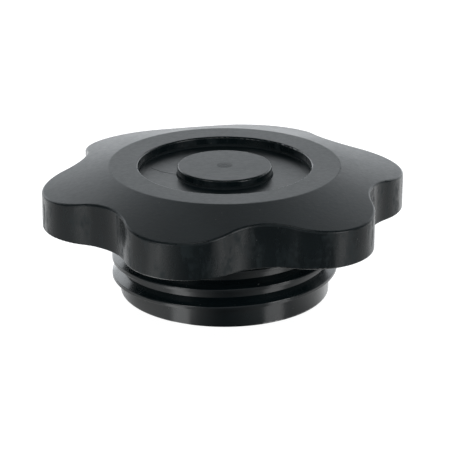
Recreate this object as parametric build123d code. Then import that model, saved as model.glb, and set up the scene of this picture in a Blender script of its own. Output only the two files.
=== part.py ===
from build123d import *
from math import cos, degrees, hypot, radians, tan
import os

# Oil filler cap: a six-lobed plastic head on a hollow spigot with a coarse outside thread,
# and a flat rubber ring under the head. Millimetres, +Z up. The origin is the centre of the
# spigot's lower end, which the cap stands on, and one lobe points along +X.

# Head
lobe_count = 6
head_diameter = 60.5
lobe_height = 5.35
lobe_tip_radius = 0.1653 * head_diameter
overall_height = 21.7
grip_height = 8.8
flat_ring_width = 4.8
top_slope = 14.1
slope_break_radius = 1.2
head_wall = 2.4
grip_top_edge_radius = 0.45
grip_lower_edge_radius = 0.3
skirt_corner_radius = 0.6

# Round recess in the top, with a boss in its middle
recess_inset = 3.15
recess_depth = 1.65
recess_rim_radius = 0.3
recess_floor_radius = 0.2
boss_share = 0.5474
boss_drop = 0.15
boss_edge_radius = 0.3

# Spigot
spigot_wall = 2.4
spigot_draft = 0.6
spigot_end_radius = 0.4
spigot_mouth_radius = 0.3
spigot_root_radius = 0.2
ceiling_corner_radius = 0.8

# Thread on the spigot, right-handed; the neck's wall goes into the room around it
neck_room = 3.75
thread_height = 1.35
thread_pitch = 3.0
thread_turns = 3.15
thread_start_angle = 122.0
thread_start_height = 2.4
crest_width = 0.55
crest_upper_radius = 0.25
crest_lower_radius = 0.08
lower_flank_slope = 0.15
upper_flank_slope = 0.85
thread_root_overlap = 0.5
runout_angle = 32.0
runout_sink = 0.1

# Rubber ring on the flat land under the head
ring_clearance = 0.1
ring_width = 4.3
ring_thickness = 2.0
ring_edge_radius = 0.2
seal_land_margin = 0.4

# Heights and radii that follow from the sizes above
head_radius = head_diameter / 2
valley_radius = head_radius - lobe_height
thread_radius = valley_radius - head_wall - neck_room
spigot_radius = thread_radius - thread_height
spigot_bore_radius = spigot_radius - spigot_wall
recess_radius = spigot_radius - recess_inset
flat_top_radius = recess_radius + flat_ring_width
boss_radius = boss_share * recess_radius
ring_inner_radius = spigot_radius + ring_clearance
ring_outer_radius = ring_inner_radius + ring_width
seal_land_radius = ring_outer_radius + seal_land_margin
grip_bottom = overall_height - grip_height
recess_floor = overall_height - recess_depth
boss_top = overall_height - boss_drop
ceiling_height = recess_floor - head_wall


def slope_height(radius):
    """Height of the sloping top at a radius outside the flat ring."""
    return overall_height - (radius - flat_top_radius) * tan(radians(top_slope))


def shell_underside(radius):
    """Height of the shell's underside, one wall thickness square to the sloping top."""
    return slope_height(radius) - head_wall / cos(radians(top_slope))


seal_land_height = shell_underside(seal_land_radius)


def lobed_outline(inset):
    """Outline of the grip: tip arcs joined by tangent valley arcs, moved inwards by inset."""
    half_step = 180 / lobe_count
    tip_centre = head_radius - lobe_tip_radius
    # distance of the valley arc's centre from the axis, so that the two arcs are tangent
    reach = lobe_tip_radius - valley_radius
    spread = 2 * reach + 2 * tip_centre * cos(radians(half_step))
    valley_centre = (tip_centre**2 - reach**2) / spread
    valley_arc_radius = valley_centre - valley_radius
    tip_radius = lobe_tip_radius - inset
    outline = []
    for lobe in range(lobe_count):
        lobe_angle = 2 * half_step * lobe
        before = Vector(valley_centre, 0).rotate(Axis.Z, lobe_angle - half_step)
        centre = Vector(tip_centre, 0).rotate(Axis.Z, lobe_angle)
        after = Vector(valley_centre, 0).rotate(Axis.Z, lobe_angle + half_step)
        next_centre = Vector(tip_centre, 0).rotate(Axis.Z, lobe_angle + 2 * half_step)
        start = centre + (before - centre).normalized() * tip_radius
        tip = centre + centre.normalized() * tip_radius
        end = centre + (after - centre).normalized() * tip_radius
        valley = after - after.normalized() * (valley_arc_radius + inset)
        next_start = next_centre + (after - next_centre).normalized() * tip_radius
        outline.append(ThreePointArc(start, tip, end))
        outline.append(ThreePointArc(end, valley, next_start))
    return make_face(Wire(outline))


def round_corners(section, corner_radii):
    """Section in the XZ plane with the corners at the given (radius, height) points rounded."""
    for (radius, height), corner_radius in corner_radii:
        corner = section.vertices().sort_by_distance(Vector(radius, 0, height))[0]
        section = fillet(corner, corner_radius)
    return section


def turned(points, corner_radii):
    """Solid turned about Z from a section of (radius, height) points, some with rounded corners."""
    section = Plane.XZ * make_face(Polyline(*points, close=True))
    return revolve(round_corners(section, corner_radii), Axis.Z)


def wall_edges(solid, upper):
    """Edges that run round the lobed wall, either in its upper part or at its foot."""
    foot_top = grip_bottom + grip_height / 4
    found = []
    for edge in solid.edges():
        box = edge.bounding_box()
        middle = edge.center()
        upright = box.size.Z > hypot(box.size.X, box.size.Y)
        outside = hypot(middle.X, middle.Y) > seal_land_radius
        inside_part = box.min.Z > foot_top if upper else box.max.Z < foot_top
        if outside and inside_part and not upright:
            found.append(edge)
    return found


def head_blank():
    """Solid head: lobed wall, sloping top, flat ring, recess and boss."""
    rim = head_radius + head_wall
    section = [
        (0, grip_bottom),
        (rim, grip_bottom),
        (rim, slope_height(rim)),
        (flat_top_radius, overall_height),
        (recess_radius, overall_height),
        (recess_radius, recess_floor),
        (boss_radius, recess_floor),
        (boss_radius, boss_top),
        (0, boss_top),
    ]
    corners = [
        (section[3], slope_break_radius),
        (section[4], recess_rim_radius),
        (section[5], recess_floor_radius),
        (section[6], recess_floor_radius),
        (section[7], boss_edge_radius),
    ]
    blank = extrude(Pos(0, 0, grip_bottom) * lobed_outline(0), grip_height)
    head = blank & turned(section, corners)
    return fillet(wall_edges(head, True), grip_top_edge_radius)


def skirt_space():
    """Space under the head: inside the lobed wall, up to the seal land and the sloping shell."""
    rim = head_radius + head_wall
    below = grip_bottom - head_wall
    section = [
        (0, below),
        (rim, below),
        (rim, shell_underside(rim)),
        (seal_land_radius, seal_land_height),
        (0, seal_land_height),
    ]
    blank = extrude(Pos(0, 0, below) * lobed_outline(head_wall), grip_height + head_wall)
    space = blank & turned(section, [])
    return fillet(wall_edges(space, True), skirt_corner_radius)


def spigot_blank():
    """Solid spigot, rounded at its end, with a small fillet where it meets the seal land."""
    flare = spigot_radius + 2 * spigot_root_radius
    section = [
        (0, 0),
        (spigot_radius, 0),
        (spigot_radius, seal_land_height),
        (flare, seal_land_height),
        (flare, seal_land_height + spigot_root_radius),
        (0, seal_land_height + spigot_root_radius),
    ]
    corners = [(section[1], spigot_end_radius), (section[2], spigot_root_radius)]
    return turned(section, corners)


def spigot_space():
    """Space inside the spigot: a bore with draft, and a core up into the boss."""
    mouth_radius = spigot_bore_radius + tan(radians(spigot_draft)) * ceiling_height
    core_radius = boss_radius - head_wall
    core_height = boss_top - head_wall
    flare = mouth_radius + 2 * spigot_mouth_radius
    section = [
        (0, -spigot_mouth_radius),
        (flare, -spigot_mouth_radius),
        (flare, 0),
        (mouth_radius, 0),
        (spigot_bore_radius, ceiling_height),
        (core_radius, ceiling_height),
        (core_radius, core_height),
        (0, core_height),
    ]
    corners = [
        (section[3], spigot_mouth_radius),
        (section[4], ceiling_corner_radius),
        (section[5], recess_floor_radius),
        (section[6], recess_floor_radius),
    ]
    return turned(section, corners)


def ridge(start_angle, sweep_angle):
    """Length of the thread's ridge, its root sunk into the spigot."""
    inside = spigot_radius - thread_root_overlap
    reach = thread_radius - inside
    section = [
        (inside, -lower_flank_slope * reach),
        (thread_radius, 0),
        (thread_radius, crest_width),
        (inside, crest_width + upper_flank_slope * reach),
    ]
    corners = [(section[2], crest_upper_radius), (section[1], crest_lower_radius)]
    face = round_corners(Plane.XZ * make_face(Polyline(*section, close=True)), corners)
    helix = Helix(thread_pitch, thread_pitch * sweep_angle / 360, spigot_radius)
    length = sweep(face, path=helix, is_frenet=True)
    height = thread_start_height + thread_pitch * (start_angle - thread_start_angle) / 360
    return Pos(0, 0, height) * Rot(0, 0, start_angle) * length


def runout_limit(end_angle):
    """Round bar set off the axis: inside it the ridge sinks into the spigot at end_angle."""
    near = spigot_radius - runout_sink
    turn = cos(radians(runout_angle))
    offset = (thread_radius**2 - near**2) / (2 * (near - thread_radius * turn))
    centre = Vector(-offset, 0).rotate(Axis.Z, end_angle)
    bar = Cylinder(near + offset, 2 * overall_height)
    return Pos(centre.X, centre.Y, 0) * bar


def thread():
    """Whole ridge of the thread, faded at both ends."""
    turned_angle = 360 * thread_turns
    end_angle = thread_start_angle + turned_angle
    middle = ridge(thread_start_angle + runout_angle, turned_angle - 2 * runout_angle)
    first = ridge(thread_start_angle, runout_angle) & runout_limit(thread_start_angle)
    last = ridge(end_angle - runout_angle, runout_angle) & runout_limit(end_angle)
    return middle, first, last


def cap_body():
    """The moulded cap: head, skirt, spigot and thread in one piece."""
    shell = head_blank() - skirt_space()
    shell = fillet(wall_edges(shell, False), grip_lower_edge_radius)
    body = shell + spigot_blank() - spigot_space()
    for length in thread():
        body = body + length
    return body.solid()


def sealing_ring():
    """Flat rubber ring, square in section with rounded edges, against the seal land."""
    low = seal_land_height - ring_thickness
    section = [
        (ring_inner_radius, low),
        (ring_outer_radius, low),
        (ring_outer_radius, seal_land_height),
        (ring_inner_radius, seal_land_height),
    ]
    return turned(section, [(corner, ring_edge_radius) for corner in section]).solid()


os.makedirs("parts", exist_ok=True)
export_step(cap_body(), "parts/cap_body.step")
export_step(sealing_ring(), "parts/sealing_ring.step")
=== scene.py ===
from math import cos, radians, sin
from types import SimpleNamespace

import bmesh
import bpy
from bpy.props import FloatProperty, FloatVectorProperty, PointerProperty
from mathutils import Matrix, Vector


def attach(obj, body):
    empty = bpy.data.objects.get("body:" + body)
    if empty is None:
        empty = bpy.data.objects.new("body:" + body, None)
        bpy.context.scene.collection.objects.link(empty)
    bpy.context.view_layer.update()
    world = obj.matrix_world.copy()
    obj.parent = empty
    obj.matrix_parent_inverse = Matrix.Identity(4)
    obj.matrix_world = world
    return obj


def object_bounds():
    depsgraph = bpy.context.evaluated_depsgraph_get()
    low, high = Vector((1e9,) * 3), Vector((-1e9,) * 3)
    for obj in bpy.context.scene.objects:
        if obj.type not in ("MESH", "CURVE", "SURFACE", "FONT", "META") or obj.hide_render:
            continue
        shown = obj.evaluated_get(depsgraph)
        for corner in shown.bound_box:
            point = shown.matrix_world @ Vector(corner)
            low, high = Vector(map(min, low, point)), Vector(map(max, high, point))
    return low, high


bl_info = {
    "name": "Oil filler cap",
    "version": (1, 0, 0),
    "blender": (4, 5, 0),
    "location": "3D View > Sidebar > Filler Cap",
    "description": "Finishes the parts of an oil filler cap and sets up its studio",
    "category": "Object",
}

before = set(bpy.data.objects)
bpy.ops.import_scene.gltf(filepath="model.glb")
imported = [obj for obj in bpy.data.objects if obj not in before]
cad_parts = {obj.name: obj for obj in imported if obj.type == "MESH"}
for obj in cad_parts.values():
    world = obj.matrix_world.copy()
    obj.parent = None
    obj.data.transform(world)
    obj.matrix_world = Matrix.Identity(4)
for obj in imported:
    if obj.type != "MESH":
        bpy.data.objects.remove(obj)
CAD_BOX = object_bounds()
MM = 0.001

# Forms of the cap that its finish follows, in millimetres from its axis and its lower end
CAP_TOP = CAD_BOX[1][2] / MM
RECESS_RADIUS = 14.25
RECESS_FLOOR = CAP_TOP - 1.65
BOSS_RADIUS = 7.8
BOSS_TOP = CAP_TOP - 0.15

# Where a finish ends, in millimetres: first where it is gone, then where it is whole.
# The spigot's by radius and by height, the recess floor's by how far it is outside the
# recess's wall and off the floor's height, the smooth rim's by how far it is outside the wall
SPIGOT_REACH = (20.2, 19.4)
SPIGOT_TOP = (18.6, 18.3)
FLOOR_REACH = (0.55, 0.35)
FLOOR_BAND = (0.45, 0.35)
RIM_REACH = (1.75, 0.75)

# Flow line in the recess's floor: an arc, its ends, the length over which they fade, half its
# width from edge to middle, and how near the floor's height it stays
FLOW_CENTRE = (-2.50, 9.27)
FLOW_RADIUS = 9.57
FLOW_X = (-11.6, -7.6)
FLOW_Y = (0.9, 5.8)
FLOW_FADE = 0.6
FLOW_WIDTH = (0.14, 0.02)
FLOW_BAND = (0.15, 0.07)

# How far a surface's normal points up or down, 0 on upright walls and 1 on level ones: where
# each kind of surface starts and where it is whole. Edges are whole between two such pairs
WALL_LEAN = (0.4, 0.15)
EDGE_LEAN = (0.12, 0.35)
EDGE_LEAN_END = (0.95, 0.8)
FLOOR_LEAN = (0.97, 0.995)

# Widths of the patterns on the plastic, the mottle's in widths of the grain
CLOUD_SIZE = 9 * MM
STREAK_SIZE = 1.6 * MM
STREAK_STRETCH = (1, 1, 0.3)
RUB_SIZE = 0.9 * MM
SPECK_SIZE = 0.5 * MM
MOTTLE_SIZE = 2.6
# Levels of a pattern between which its marks come up
CLOUD_LEVEL = (0.35, 0.7)
WEAR_LEVEL = (0.42, 0.62)
STREAK_LEVEL = (0.48, 0.62)
SCUFF_LEVEL = (0.4, 0.6)
SPECK_LEVEL = (0.765, 0.785)
# How strongly the marks show in the colour, and how much paler the marked plastic is
CLOUD_SHARE = 0.35
WEAR_SHARE = 0.3
SCUFF_SHARE = 0.6
DUST_SHARE = 0.4
PALER = (1.9, 0.004)
# Parts of the relief, and how much of it is missing on the spigot and on the walls
GRAIN_SHARE = 0.45
MOTTLE_SHARE = 0.55
SPIGOT_CALM = 0.6
WALL_CALM = 0.2

# How far the patterns move the roughness
TOP_CLOUD_SWING = 0.08
TOP_MOTTLE_SWING = 0.12
WALL_STREAK_SWING = 0.5
WALL_SCUFF = 0.2
EDGE_RUB_SWING = 0.2
SPIGOT_CLOUD_SWING = 0.06
SPIGOT_STREAK_SWING = 0.3
SPECK_ROUGHNESS = 0.3
# Smoother places, then the dull line of dirt and half its width from edge to middle
RECESS_POLISH = 0.07
RECESS_RIM_POLISH = 0.14
DIRT_ROUGHNESS = 0.9
DIRT_WIDTH = (0.34, 0.26)
# Gloss over the spigot
SPIGOT_COAT = 0.35

# Rubber: its pale bloom, and its pores
BLOOM_SIZE = 5 * MM
BLOOM_LEVEL = (0.4, 0.7)
BLOOM_SHARE = 0.6
BLOOM_PALER = (1.8, 0.006)
BLOOM_SWING = 0.12
PORE_SIZE = 0.2 * MM
PORE_DEPTH = 0.004 * MM

# Gate mark: sides of its outline, depth of its foot under the boss's top, height of its rim,
# then the shares of its radius that the cone and the dish take and the dish's share of its height
GATE_SIDES = 48
GATE_SUNK = 0.02 * MM
GATE_RIM = 0.004 * MM
GATE_CONE = 0.6
GATE_DISH = 0.2
GATE_DISH_DEPTH = 0.7
# Its torn plastic
TORN_SIZE = 0.25 * MM
TORN_LEVEL = (0.45, 0.65)
TORN_SHARE = 0.5
TORN_PALER = (2.2, 0.004)
TORN_ROUGHNESS = 0.52
TORN_SWING = 0.3
TORN_DEPTH = 0.03 * MM

# Brightness of the studio's wall: one row for each height in degrees above the floor,
# with the levels at the turns in degrees from straight behind the cap, the right positive.
# A level fades out over the span to each side and over the rise up and down
WALL_TURNS = (-72, -36, 0, 36, 72)
WALL_SPAN = 36.0
WALL_RISE = 12.0
WALL_LIGHT = {
    4: (0.60, 1.30, 2.30, 1.20, 0.50),
    16: (0.15, 2.20, 1.45, 1.90, 0.10),
    28: (0.10, 2.90, 1.00, 1.90, 0.10),
    40: (0.05, 0.65, 0.12, 0.95, 0.05),
}
# Level of everything else round the cap
AMBIENT = 0.04
# Dim wall behind the camera: its level, the turns over which it starts, the heights over
# which it ends
FRONT_WALL = 0.35
FRONT_TURN = (90.0, 126.0)
FRONT_HEIGHT = (62.0, 42.0)

# Lamps: turn from the camera in degrees, the right positive, degrees above the floor,
# distance and size in metres, and the setting with the power
LAMPS = {
    "softbox_left": (-42, 21, 0.42, (0.16, 0.20), "left_power"),
    "softbox_right": (56, 21, 0.42, (0.16, 0.20), "right_power"),
    "top_light": (0, 78, 0.5, (0.16, 0.16), "top_power"),
}

# Floor: radius in metres and sides of its outline
FLOOR_RADIUS = 3.0
FLOOR_SIDES = 96
# A hair below the spigot's end, so that the two faces don't share a plane
FLOOR_HEIGHT = -0.01 * MM
# Pools of light that the plastic mirrors in the floor: turn from straight behind the cap and
# half width in degrees, then the level near the cap and the level further out
FLOOR_POOLS = (
    (0, 60, 0.00, 1.20),
    (60, 40, 0.45, 0.85),
    (-60, 40, 0.40, 0.95),
    (100, 40, 0.80, 0.42),
    (-100, 40, 0.42, 0.48),
    (140, 40, 0.36, 0.00),
    (-140, 40, 0.80, 0.70),
)
# Millimetres from the axis over which the near level takes over
POOL_NEAR = (60.0, 45.0)
# Bright images of the two softboxes in front, each a fan: its apex in millimetres to the right
# of and in front of the cap's axis, its turn and half width in degrees, its levels near and far
FLOOR_FANS = (
    (-1.35, 10.93, -131.5, 12.0, 1.30, 0.60),
    (1.52, 11.07, 125.0, 12.5, 0.75, 0.75),
)
FAN_NEAR = (46.0, 40.0)
# Shares of a fan's half width between which it fades
FAN_FADE = (1.2, 0.5)


# Shader maths


class Value:
    """Number socket of a shader; arithmetic on it adds Math nodes."""

    def __init__(self, graph, socket):
        self.graph = graph
        self.socket = socket

    def __add__(self, other):
        return self.graph.math("ADD", self, other)

    def __radd__(self, other):
        return self.graph.math("ADD", other, self)

    def __sub__(self, other):
        return self.graph.math("SUBTRACT", self, other)

    def __rsub__(self, other):
        return self.graph.math("SUBTRACT", other, self)

    def __mul__(self, other):
        return self.graph.math("MULTIPLY", self, other)

    def __rmul__(self, other):
        return self.graph.math("MULTIPLY", other, self)

    def __truediv__(self, other):
        return self.graph.math("DIVIDE", self, other)

    def __abs__(self):
        return self.graph.math("ABSOLUTE", self)


class Graph:
    """Node tree of one material or world, emptied and built again."""

    def __init__(self, tree):
        self.tree = tree
        tree.nodes.clear()

    def node(self, kind, settings=(), sockets=()):
        """Adds a node, gives it its settings first, then values or links to its sockets."""
        new = self.tree.nodes.new(kind)
        for name, value in dict(settings).items():
            setattr(new, name, value)
        for key, value in dict(sockets).items():
            if isinstance(value, Value):
                value = value.socket
            if isinstance(value, bpy.types.NodeSocket):
                self.tree.links.new(value, new.inputs[key])
            else:
                new.inputs[key].default_value = value
        return new

    def math(self, operation, *values):
        """Result of one Math node."""
        node = self.node("ShaderNodeMath", {"operation": operation}, enumerate(values))
        return Value(self, node.outputs[0])

    def length(self, x, y):
        """Length of the level vector x, y."""
        return self.math("SQRT", x * x + y * y)

    def step(self, value, low, high):
        """0 below low, 1 above high, and smooth between; low may be the larger."""
        sockets = {"Value": value, "From Min": low, "From Max": high}
        node = self.node("ShaderNodeMapRange", {"interpolation_type": "SMOOTHSTEP"}, sockets)
        return Value(self, node.outputs[0])

    def band(self, value, low, high, fade):
        """1 between low and high, fading inside them."""
        return self.step(value, low, low + fade) * self.step(value, high, high - fade)

    def colours(self, share, first, second):
        """Colour that goes from first to second."""
        sockets = {0: share, 6: first, 7: second}
        return self.node("ShaderNodeMix", {"data_type": "RGBA"}, sockets).outputs[2]

    def parts(self, vector):
        """The x, y and z of a vector."""
        return [Value(self, part) for part in self.node("ShaderNodeSeparateXYZ", (), {0: vector}).outputs]

    def place(self):
        """Object coordinates, and their x, y and z in millimetres."""
        place = self.node("ShaderNodeTexCoord").outputs["Object"]
        return place, [part / MM for part in self.parts(place)]

    def rays(self):
        """The Light Path node's outputs by name."""
        outputs = self.node("ShaderNodeLightPath").outputs
        return {name: Value(self, outputs[name]) for name in outputs.keys()}

    def noise(self, place, size, detail=2.0, stretch=(1, 1, 1)):
        """Cloudy value around 0.5, its patches about size metres across."""
        sockets = {"Vector": place, "Scale": stretch}
        scaled = self.node("ShaderNodeMapping", (), sockets).outputs[0]
        sockets = {"Vector": scaled, "Scale": 1 / size, "Detail": detail}
        return Value(self, self.node("ShaderNodeTexNoise", (), sockets).outputs[0])

    def bump(self, height, depth, under=None):
        """Normal bent by a height between 0 and 1, which stands for depth metres."""
        sockets = {"Height": height, "Distance": depth, "Strength": 1.0}
        if under is not None:
            sockets["Normal"] = under
        return self.node("ShaderNodeBump", (), sockets).outputs[0]

    def finish(self, **sockets):
        """Main shader with the given sockets, joined to the output."""
        named = {key.replace("_", " "): value for key, value in sockets.items()}
        shader = self.node("ShaderNodeBsdfPrincipled", (), named)
        self.node("ShaderNodeOutputMaterial", (), {"Surface": shader.outputs[0]})


def swing(amount, pattern):
    """Pattern of noise moved to run about 0, its whole range worth amount."""
    return amount * (pattern - 0.5)


def blend(first, second, share):
    """Value that goes from first to second."""
    return first * (1 - share) + second * share


def opaque(colour, gain=1.0, lift=0.0):
    """Colour with full alpha, made paler by a gain and a lift."""
    return (*[channel * gain + lift for channel in colour], 1.0)


def new_material(name):
    """Material with an empty node tree."""
    material = bpy.data.materials.new(name)
    material.use_nodes = True
    return material, Graph(material.node_tree)


def dress(node_name, material):
    """Gives every slot of a CAD node the material."""
    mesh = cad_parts[node_name].data
    mesh.materials.clear()
    mesh.materials.append(material)


# Settings


def colour_setting(name, description, default):
    """Colour as red, green and blue between 0 and 1."""
    return FloatVectorProperty(
        name=name,
        description=description,
        subtype="COLOR",
        size=3,
        min=0.0,
        max=1.0,
        default=default,
    )


def share_setting(name, description, default):
    """Roughness or another share between 0 and 1."""
    return FloatProperty(
        name=name,
        description=description,
        subtype="FACTOR",
        min=0.0,
        max=1.0,
        default=default,
    )


def length_setting(name, description, millimetres):
    """Length, its default given in millimetres."""
    return FloatProperty(
        name=name,
        description=description,
        subtype="DISTANCE",
        unit="LENGTH",
        default=millimetres * MM,
    )


def angle_setting(name, description, degrees):
    """Angle, its default given in degrees."""
    return FloatProperty(
        name=name,
        description=description,
        subtype="ANGLE",
        unit="ROTATION",
        default=radians(degrees),
    )


def power_setting(name, description, watts):
    """Power of a lamp."""
    return FloatProperty(name=name, description=description, unit="POWER", default=watts)


class CapSettings(bpy.types.PropertyGroup):
    """Finish of the moulded cap."""

    colour: colour_setting("Plastic", "Colour of the black plastic", (0.0035, 0.0080, 0.0095))
    dust_colour: colour_setting("Dust", "Colour of the few specks of dust", (0.16, 0.16, 0.155))
    head_roughness: share_setting("Head roughness", "Roughness of the fine matt grain on the head", 0.42)
    wall_roughness: share_setting("Wall roughness", "Roughness of the upright walls", 0.26)
    edge_roughness: share_setting("Edge roughness", "Roughness of the rubbed edges", 0.3)
    thread_roughness: share_setting("Thread roughness", "Roughness of the thread and spigot", 0.22)
    grain_size: length_setting("Grain size", "Width of the grain on the head", 0.28)
    grain_depth: length_setting("Grain depth", "Depth of the grain on the head", 0.022)
    flow_line_depth: length_setting("Flow line depth", "Depth of the line in the recess's floor", 0.09)


class RingSettings(bpy.types.PropertyGroup):
    """Finish of the rubber sealing ring."""

    colour: colour_setting("Rubber", "Colour of the rubber", (0.014, 0.014, 0.015))
    roughness: share_setting("Roughness", "Roughness of the rubber", 0.62)


class GateSettings(bpy.types.PropertyGroup):
    """Mark where the plastic entered the mould."""

    diameter: length_setting("Diameter", "Width of the trimmed mark on the boss", 2.6)
    height: length_setting("Height", "Height of the trimmed stub above the boss", 0.025)


class StageSettings(bpy.types.PropertyGroup):
    """Camera, lamps and floor."""

    azimuth: angle_setting("Azimuth", "Camera's angle round the cap; 0 looks along +Y", -13.07)
    elevation: angle_setting("Elevation", "Camera's angle above the floor", 20.79)
    distance: length_setting("Distance", "From the camera to the point it looks at", 356.2)
    target: FloatVectorProperty(
        name="Target",
        description="Point that the camera looks at",
        subtype="TRANSLATION",
        unit="LENGTH",
        size=3,
        default=(0.459 * MM, -0.107 * MM, 10.575 * MM),
    )
    lens: FloatProperty(
        name="Lens",
        description="Focal length in millimetres on a 36 mm sensor",
        unit="CAMERA",
        default=169.7,
    )
    left_power: power_setting("Left softbox", "Power of the left softbox in watts", 0.2)
    right_power: power_setting("Right softbox", "Power of the right softbox in watts", 0.32)
    top_power: power_setting("Top light", "Power of the small lamp overhead in watts", 0.18)
    light_colour: colour_setting("Light", "Colour of the studio's wall", (0.925, 0.965, 1.0))
    floor_colour: colour_setting("Floor", "Colour of the floor", (0.26, 0.26, 0.26))
    floor_glow: share_setting("Floor glow", "How far the floor is lifted to white where it is seen", 0.95)


# Cap


def body_areas(graph, radius, z):
    """Parts of the cap with a finish of their own, each 1 inside and 0 outside."""
    normal = graph.node("ShaderNodeNewGeometry").outputs["Normal"]
    lean = abs(graph.parts(normal)[2])
    # the spigot with its thread, below the sealing ring's land
    spigot = graph.step(radius, *SPIGOT_REACH) * graph.step(z, *SPIGOT_TOP)
    head = 1 - spigot
    # upright walls of the grip, the recess and the boss, smoother than the grained top
    wall = graph.step(lean, *WALL_LEAN) * head
    # fillets, which hands and shelves rub smooth
    edge = graph.step(lean, *EDGE_LEAN) * graph.step(lean, *EDGE_LEAN_END) * head
    # floor of the recess, and the dull line of dirt round its foot and the boss's
    outside = radius - RECESS_RADIUS
    inside = graph.step(outside, *FLOOR_REACH) * graph.step(abs(z - RECESS_FLOOR), *FLOOR_BAND)
    to_wall = graph.math("MINIMUM", abs(outside), abs(radius - BOSS_RADIUS))
    foot = inside * graph.step(to_wall, *DIRT_WIDTH) * (1 - graph.step(lean, *FLOOR_LEAN))
    # rim of the recess and edge of the boss, smoother than the grip's edges
    rim = graph.step(outside, *RIM_REACH)
    return SimpleNamespace(spigot=spigot, wall=wall, edge=edge, inside=inside, foot=foot, rim=rim)


def body_patterns(graph, place, settings, areas):
    """Uneven spots of the plastic: noises around 0.5, then marks from 0 to 1."""
    grain = graph.noise(place, settings.grain_size, 3.0)
    mottle = graph.noise(place, MOTTLE_SIZE * settings.grain_size, 2.0)
    clouds = graph.noise(place, CLOUD_SIZE, 3.0)
    streaks = graph.noise(place, STREAK_SIZE, 3.0, STREAK_STRETCH)
    rub = graph.noise(place, RUB_SIZE, 4.0)
    specks = graph.step(graph.noise(place, SPECK_SIZE, 1.0), *SPECK_LEVEL)
    worn = areas.edge * graph.step(rub, *WEAR_LEVEL)
    # scuffed patches on the walls, drawn out upright
    scuff = areas.wall * graph.step(streaks, *STREAK_LEVEL) * graph.step(rub, *SCUFF_LEVEL)
    return SimpleNamespace(
        grain=grain,
        mottle=mottle,
        clouds=clouds,
        streaks=streaks,
        rub=rub,
        specks=specks,
        worn=worn,
        scuff=scuff,
    )


def body_colour(graph, settings, patterns):
    """Black, paler in clouds and where it is worn or scuffed, with specks of dust."""
    share = CLOUD_SHARE * graph.step(patterns.clouds, *CLOUD_LEVEL)
    share = share + WEAR_SHARE * patterns.worn + SCUFF_SHARE * patterns.scuff
    colour = graph.colours(share, opaque(settings.colour), opaque(settings.colour, *PALER))
    return graph.colours(DUST_SHARE * patterns.specks, colour, opaque(settings.dust_colour))


def body_roughness(settings, areas, patterns):
    """Matt top, smoother walls and edges, dull foot of the recess, smooth spigot."""
    clouds = patterns.clouds
    top = settings.head_roughness + swing(TOP_CLOUD_SWING, clouds)
    top = top + swing(TOP_MOTTLE_SWING, patterns.mottle) - RECESS_POLISH * areas.inside
    wall = settings.wall_roughness + swing(WALL_STREAK_SWING, patterns.streaks)
    wall = wall + WALL_SCUFF * patterns.scuff
    edge = settings.edge_roughness + swing(EDGE_RUB_SWING, patterns.rub) - RECESS_RIM_POLISH * areas.rim
    spigot = settings.thread_roughness + swing(SPIGOT_CLOUD_SWING, clouds)
    spigot = spigot + swing(SPIGOT_STREAK_SWING, patterns.streaks)
    head = blend(blend(top, wall, areas.wall), edge, areas.edge)
    head = blend(head, DIRT_ROUGHNESS, areas.foot)
    return blend(head, spigot, areas.spigot) + SPECK_ROUGHNESS * patterns.specks


def body_relief(graph, settings, areas, patterns, x, y, z):
    """Grain of the mould, and the shallow flow line from the recess's wall to the boss."""
    depth = GRAIN_SHARE * patterns.grain + MOTTLE_SHARE * patterns.mottle
    depth = depth * (1 - SPIGOT_CALM * areas.spigot) * (1 - WALL_CALM * areas.wall)
    relief = graph.bump(depth, settings.grain_depth)
    across = abs(graph.length(x - FLOW_CENTRE[0], y - FLOW_CENTRE[1]) - FLOW_RADIUS)
    line = graph.step(across, *FLOW_WIDTH) * graph.step(abs(z - RECESS_FLOOR), *FLOW_BAND)
    line = line * graph.band(x, *FLOW_X, FLOW_FADE) * graph.band(y, *FLOW_Y, FLOW_FADE)
    return graph.bump(1 - line, settings.flow_line_depth, relief)


class CAP_OT_dress_body(bpy.types.Operator):
    """Black moulded plastic: matt grain on the head, smoother spigot and thread"""

    bl_idname = "filler_cap.dress_body"
    bl_label = "Finish Cap Body"

    def execute(self, context):
        settings = context.scene.cap_settings
        material, graph = new_material("black_plastic")
        place, (x, y, z) = graph.place()
        areas = body_areas(graph, graph.length(x, y), z)
        patterns = body_patterns(graph, place, settings, areas)
        graph.finish(
            Base_Color=body_colour(graph, settings, patterns),
            Roughness=body_roughness(settings, areas, patterns),
            Specular_IOR_Level=0.38,
            Coat_Weight=SPIGOT_COAT * areas.spigot,
            Coat_Roughness=0.12,
            Normal=body_relief(graph, settings, areas, patterns, x, y, z),
        )
        dress("cap_body", material)
        return {"FINISHED"}


class CAP_OT_dress_ring(bpy.types.Operator):
    """Dull black rubber with a faint bloom"""

    bl_idname = "filler_cap.dress_ring"
    bl_label = "Finish Sealing Ring"

    def execute(self, context):
        settings = context.scene.ring_settings
        material, graph = new_material("black_rubber")
        place, _ = graph.place()
        bloom = graph.noise(place, BLOOM_SIZE, 4.0)
        pores = graph.noise(place, PORE_SIZE, 2.0)
        share = graph.step(bloom, *BLOOM_LEVEL) * BLOOM_SHARE
        graph.finish(
            Base_Color=graph.colours(share, opaque(settings.colour), opaque(settings.colour, *BLOOM_PALER)),
            Roughness=settings.roughness + swing(BLOOM_SWING, bloom),
            Specular_IOR_Level=0.4,
            Normal=graph.bump(pores, PORE_DEPTH),
        )
        dress("sealing_ring", material)
        return {"FINISHED"}


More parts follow.
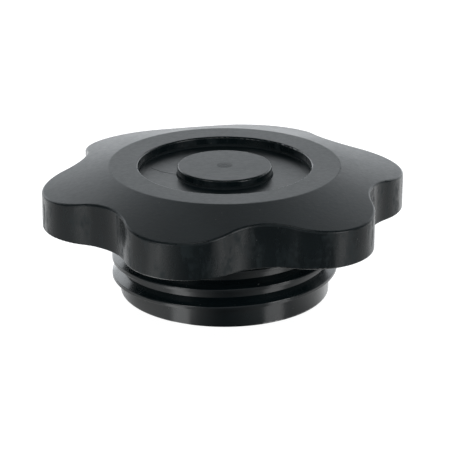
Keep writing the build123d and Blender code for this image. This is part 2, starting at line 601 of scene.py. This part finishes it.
class CAP_OT_add_gate_mark(bpy.types.Operator):
    """Low trimmed stub in the middle of the boss, where the plastic entered the mould"""

    bl_idname = "filler_cap.add_gate_mark"
    bl_label = "Add Gate Mark"

    def execute(self, context):
        mesh = self.shape(context.scene.gate_settings)
        piece = bpy.data.objects.new("gate_mark", mesh)
        context.scene.collection.objects.link(piece)
        mesh.materials.append(self.finish(context.scene.cap_settings.colour))
        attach(piece, "root")
        return {"FINISHED"}

    def shape(self, settings):
        """Disc sunk in the boss, with a low cone up to a small flat, dished where it tore off."""
        radius = settings.diameter / 2
        shape = bmesh.new()
        disc = bmesh.ops.create_circle(shape, cap_ends=True, radius=radius, segments=GATE_SIDES)
        bmesh.ops.translate(shape, verts=disc["verts"], vec=(0, 0, BOSS_TOP * MM - GATE_SUNK))
        top = bmesh.ops.extrude_face_region(shape, geom=shape.faces[:])["geom"]
        verts = [item for item in top if isinstance(item, bmesh.types.BMVert)]
        faces = [item for item in top if isinstance(item, bmesh.types.BMFace)]
        bmesh.ops.translate(shape, verts=verts, vec=(0, 0, GATE_SUNK + GATE_RIM))
        for share, rise in ((GATE_CONE, 1.0), (GATE_DISH, -GATE_DISH_DEPTH)):
            depth = rise * settings.height
            bmesh.ops.inset_region(shape, faces=faces, thickness=share * radius, depth=depth)
        bmesh.ops.recalc_face_normals(shape, faces=shape.faces[:])
        mesh = bpy.data.meshes.new("gate_mark")
        shape.to_mesh(mesh)
        shape.free()
        return mesh

    def finish(self, colour):
        """The cap's plastic, torn and a little paler."""
        material, graph = new_material("trimmed_plastic")
        place, _ = graph.place()
        torn = graph.noise(place, TORN_SIZE, 4.0)
        share = graph.step(torn, *TORN_LEVEL) * TORN_SHARE
        graph.finish(
            Base_Color=graph.colours(share, opaque(colour), opaque(colour, *TORN_PALER)),
            Roughness=TORN_ROUGHNESS + swing(TORN_SWING, torn),
            Specular_IOR_Level=0.4,
            Normal=graph.bump(torn, TORN_DEPTH),
        )
        return material


# Stage


def direction(azimuth, elevation):
    """Unit vector from the cap towards a camera or lamp at these angles."""
    return Vector((sin(azimuth) * cos(elevation), -cos(azimuth) * cos(elevation), sin(elevation)))


def look_from(thing, place, target):
    """Puts a camera or lamp at place, looking at target, its top side up."""
    turn = (Vector(target) - place).to_track_quat("-Z", "Y")
    thing.matrix_world = Matrix.Translation(place) @ turn.to_matrix().to_4x4()


def turn_from_back(graph, x, y, azimuth):
    """Degrees round the cap from straight behind it as the camera sees it, the right positive."""
    rightward = x * cos(azimuth) + y * sin(azimuth)
    backward = y * cos(azimuth) - x * sin(azimuth)
    return graph.math("DEGREES", graph.math("ARCTAN2", rightward, backward))


class CAP_OT_build_stage(bpy.types.Operator):
    """Pale floor, soft lamps, studio wall and the camera"""

    bl_idname = "filler_cap.build_stage"
    bl_label = "Build Stage"

    def execute(self, context):
        scene = context.scene
        settings = scene.stage_settings
        scene.view_settings.view_transform = "Standard"
        self.add_camera(scene, settings)
        self.add_floor(scene, settings)
        for name, lamp in LAMPS.items():
            self.add_lamp(scene, settings, name, *lamp)
        self.light_world(scene, settings)
        return {"FINISHED"}

    def add_camera(self, scene, settings):
        """Camera at its angle and distance from the target."""
        camera = bpy.data.cameras.new("camera")
        camera.lens = settings.lens
        camera.sensor_width = 36.0
        camera.clip_start = 0.01
        camera.clip_end = 50.0
        viewer = bpy.data.objects.new("camera", camera)
        scene.collection.objects.link(viewer)
        target = Vector(settings.target)
        place = target + direction(settings.azimuth, settings.elevation) * settings.distance
        look_from(viewer, place, target)
        scene.camera = viewer

    def add_lamp(self, scene, settings, name, turn, elevation, distance, size, power):
        """Rectangular lamp, aimed at the point that the camera looks at."""
        lamp = bpy.data.lights.new(name, "AREA")
        lamp.shape = "RECTANGLE"
        lamp.size, lamp.size_y = size
        lamp.energy = getattr(settings, power)
        thing = bpy.data.objects.new(name, lamp)
        scene.collection.objects.link(thing)
        target = Vector(settings.target)
        place = target + direction(settings.azimuth + radians(turn), radians(elevation)) * distance
        look_from(thing, place, target)

    def add_floor(self, scene, settings):
        """Round floor, white where it is seen, with the shadow of the cap."""
        shape = bmesh.new()
        bmesh.ops.create_circle(shape, cap_ends=True, radius=FLOOR_RADIUS, segments=FLOOR_SIDES)
        mesh = bpy.data.meshes.new("floor")
        shape.to_mesh(mesh)
        shape.free()
        floor = bpy.data.objects.new("floor", mesh)
        floor.location.z = FLOOR_HEIGHT
        scene.collection.objects.link(floor)

        material, graph = new_material("pale_floor")
        _, (x, y, _) = graph.place()
        pools = self.floor_pools(graph, x, y, settings.azimuth)
        ray = graph.rays()
        seen = graph.math("MAXIMUM", ray["Is Camera Ray"], ray["Is Transmission Ray"])
        lift = seen * settings.floor_glow + ray["Is Glossy Ray"] * pools
        sockets = {
            "Base Color": opaque(settings.floor_colour),
            "Roughness": 0.5,
            "Specular IOR Level": 0.0,
            "Coat Weight": 1.0,
            "Coat Roughness": 0.06,
            "Coat IOR": 1.5,
        }
        surface = graph.node("ShaderNodeBsdfPrincipled", (), sockets)
        glow = graph.node("ShaderNodeEmission", (), {"Strength": lift})
        both = graph.node("ShaderNodeAddShader", (), {0: surface.outputs[0], 1: glow.outputs[0]})
        graph.node("ShaderNodeOutputMaterial", (), {"Surface": both.outputs[0]})
        mesh.materials.append(material)

    def floor_pools(self, graph, x, y, azimuth):
        """Brightness of the floor as the plastic mirrors it."""
        distance = graph.length(x, y)
        near = graph.step(distance, *POOL_NEAR)
        close = graph.step(distance, *FAN_NEAR)
        turn = turn_from_back(graph, x, y, azimuth)
        pools = 0.0
        for centre, width, near_level, far_level in FLOOR_POOLS:
            level = near_level * near + far_level * (1 - near)
            pools = level * graph.step(abs(turn - centre), width, 0.0) + pools
        for right, front, centre, width, near_level, far_level in FLOOR_FANS:
            apex_x = right * cos(azimuth) + front * sin(azimuth)
            apex_y = right * sin(azimuth) - front * cos(azimuth)
            off = abs(turn_from_back(graph, x - apex_x, y - apex_y, azimuth) - centre)
            level = near_level * close + far_level * (1 - close)
            pools = level * graph.step(off, *[share * width for share in FAN_FADE]) + pools
        return pools

    def light_world(self, scene, settings):
        """Bright panels of the wall behind the cap, a dim wall behind the camera."""
        world = bpy.data.worlds.new("studio")
        world.use_nodes = True
        scene.world = world
        graph = Graph(world.node_tree)
        x, y, z = graph.parts(graph.node("ShaderNodeTexCoord").outputs["Generated"])
        turn = turn_from_back(graph, x, y, settings.azimuth)
        height = graph.math("DEGREES", graph.math("ARCSINE", z))
        front = graph.step(abs(turn), *FRONT_TURN) * graph.step(height, *FRONT_HEIGHT)
        level = AMBIENT + FRONT_WALL * front
        for centre, row in WALL_LIGHT.items():
            lit = 0.0
            for wall_turn, strength in zip(WALL_TURNS, row):
                lit = strength * graph.step(abs(turn - wall_turn), WALL_SPAN, 0.0) + lit
            # the lowest row goes on down to the floor
            away = abs(height - centre) if centre > min(WALL_LIGHT) else height - centre
            level = lit * graph.step(away, WALL_RISE, 0.0) + level
        sockets = {"Color": opaque(settings.light_colour), "Strength": level}
        light = graph.node("ShaderNodeBackground", (), sockets)
        graph.node("ShaderNodeOutputWorld", (), {"Surface": light.outputs[0]})


# Panel


OPERATORS = (CAP_OT_dress_body, CAP_OT_dress_ring, CAP_OT_add_gate_mark, CAP_OT_build_stage)

SETTINGS = {
    "cap_settings": CapSettings,
    "ring_settings": RingSettings,
    "gate_settings": GateSettings,
    "stage_settings": StageSettings,
}


class CAP_PT_panel(bpy.types.Panel):
    """Settings and steps of the filler cap"""

    bl_idname = "CAP_PT_panel"
    bl_label = "Filler Cap"
    bl_space_type = "VIEW_3D"
    bl_region_type = "UI"
    bl_category = "Filler Cap"

    def draw(self, context):
        for name, group in SETTINGS.items():
            box = self.layout.box()
            for key in group.__annotations__:
                box.prop(getattr(context.scene, name), key)
        for operator in OPERATORS:
            self.layout.operator(operator.bl_idname)


CLASSES = (*SETTINGS.values(), *OPERATORS, CAP_PT_panel)


def register():
    for group in CLASSES:
        bpy.utils.register_class(group)
    for name, group in SETTINGS.items():
        setattr(bpy.types.Scene, name, PointerProperty(type=group))


def unregister():
    for name in SETTINGS:
        delattr(bpy.types.Scene, name)
    for group in reversed(CLASSES):
        bpy.utils.unregister_class(group)


def main():
    register()
    bpy.ops.filler_cap.dress_body()
    bpy.ops.filler_cap.dress_ring()
    bpy.ops.filler_cap.add_gate_mark()
    bpy.ops.filler_cap.build_stage()


if __name__ == "__main__":
    main()
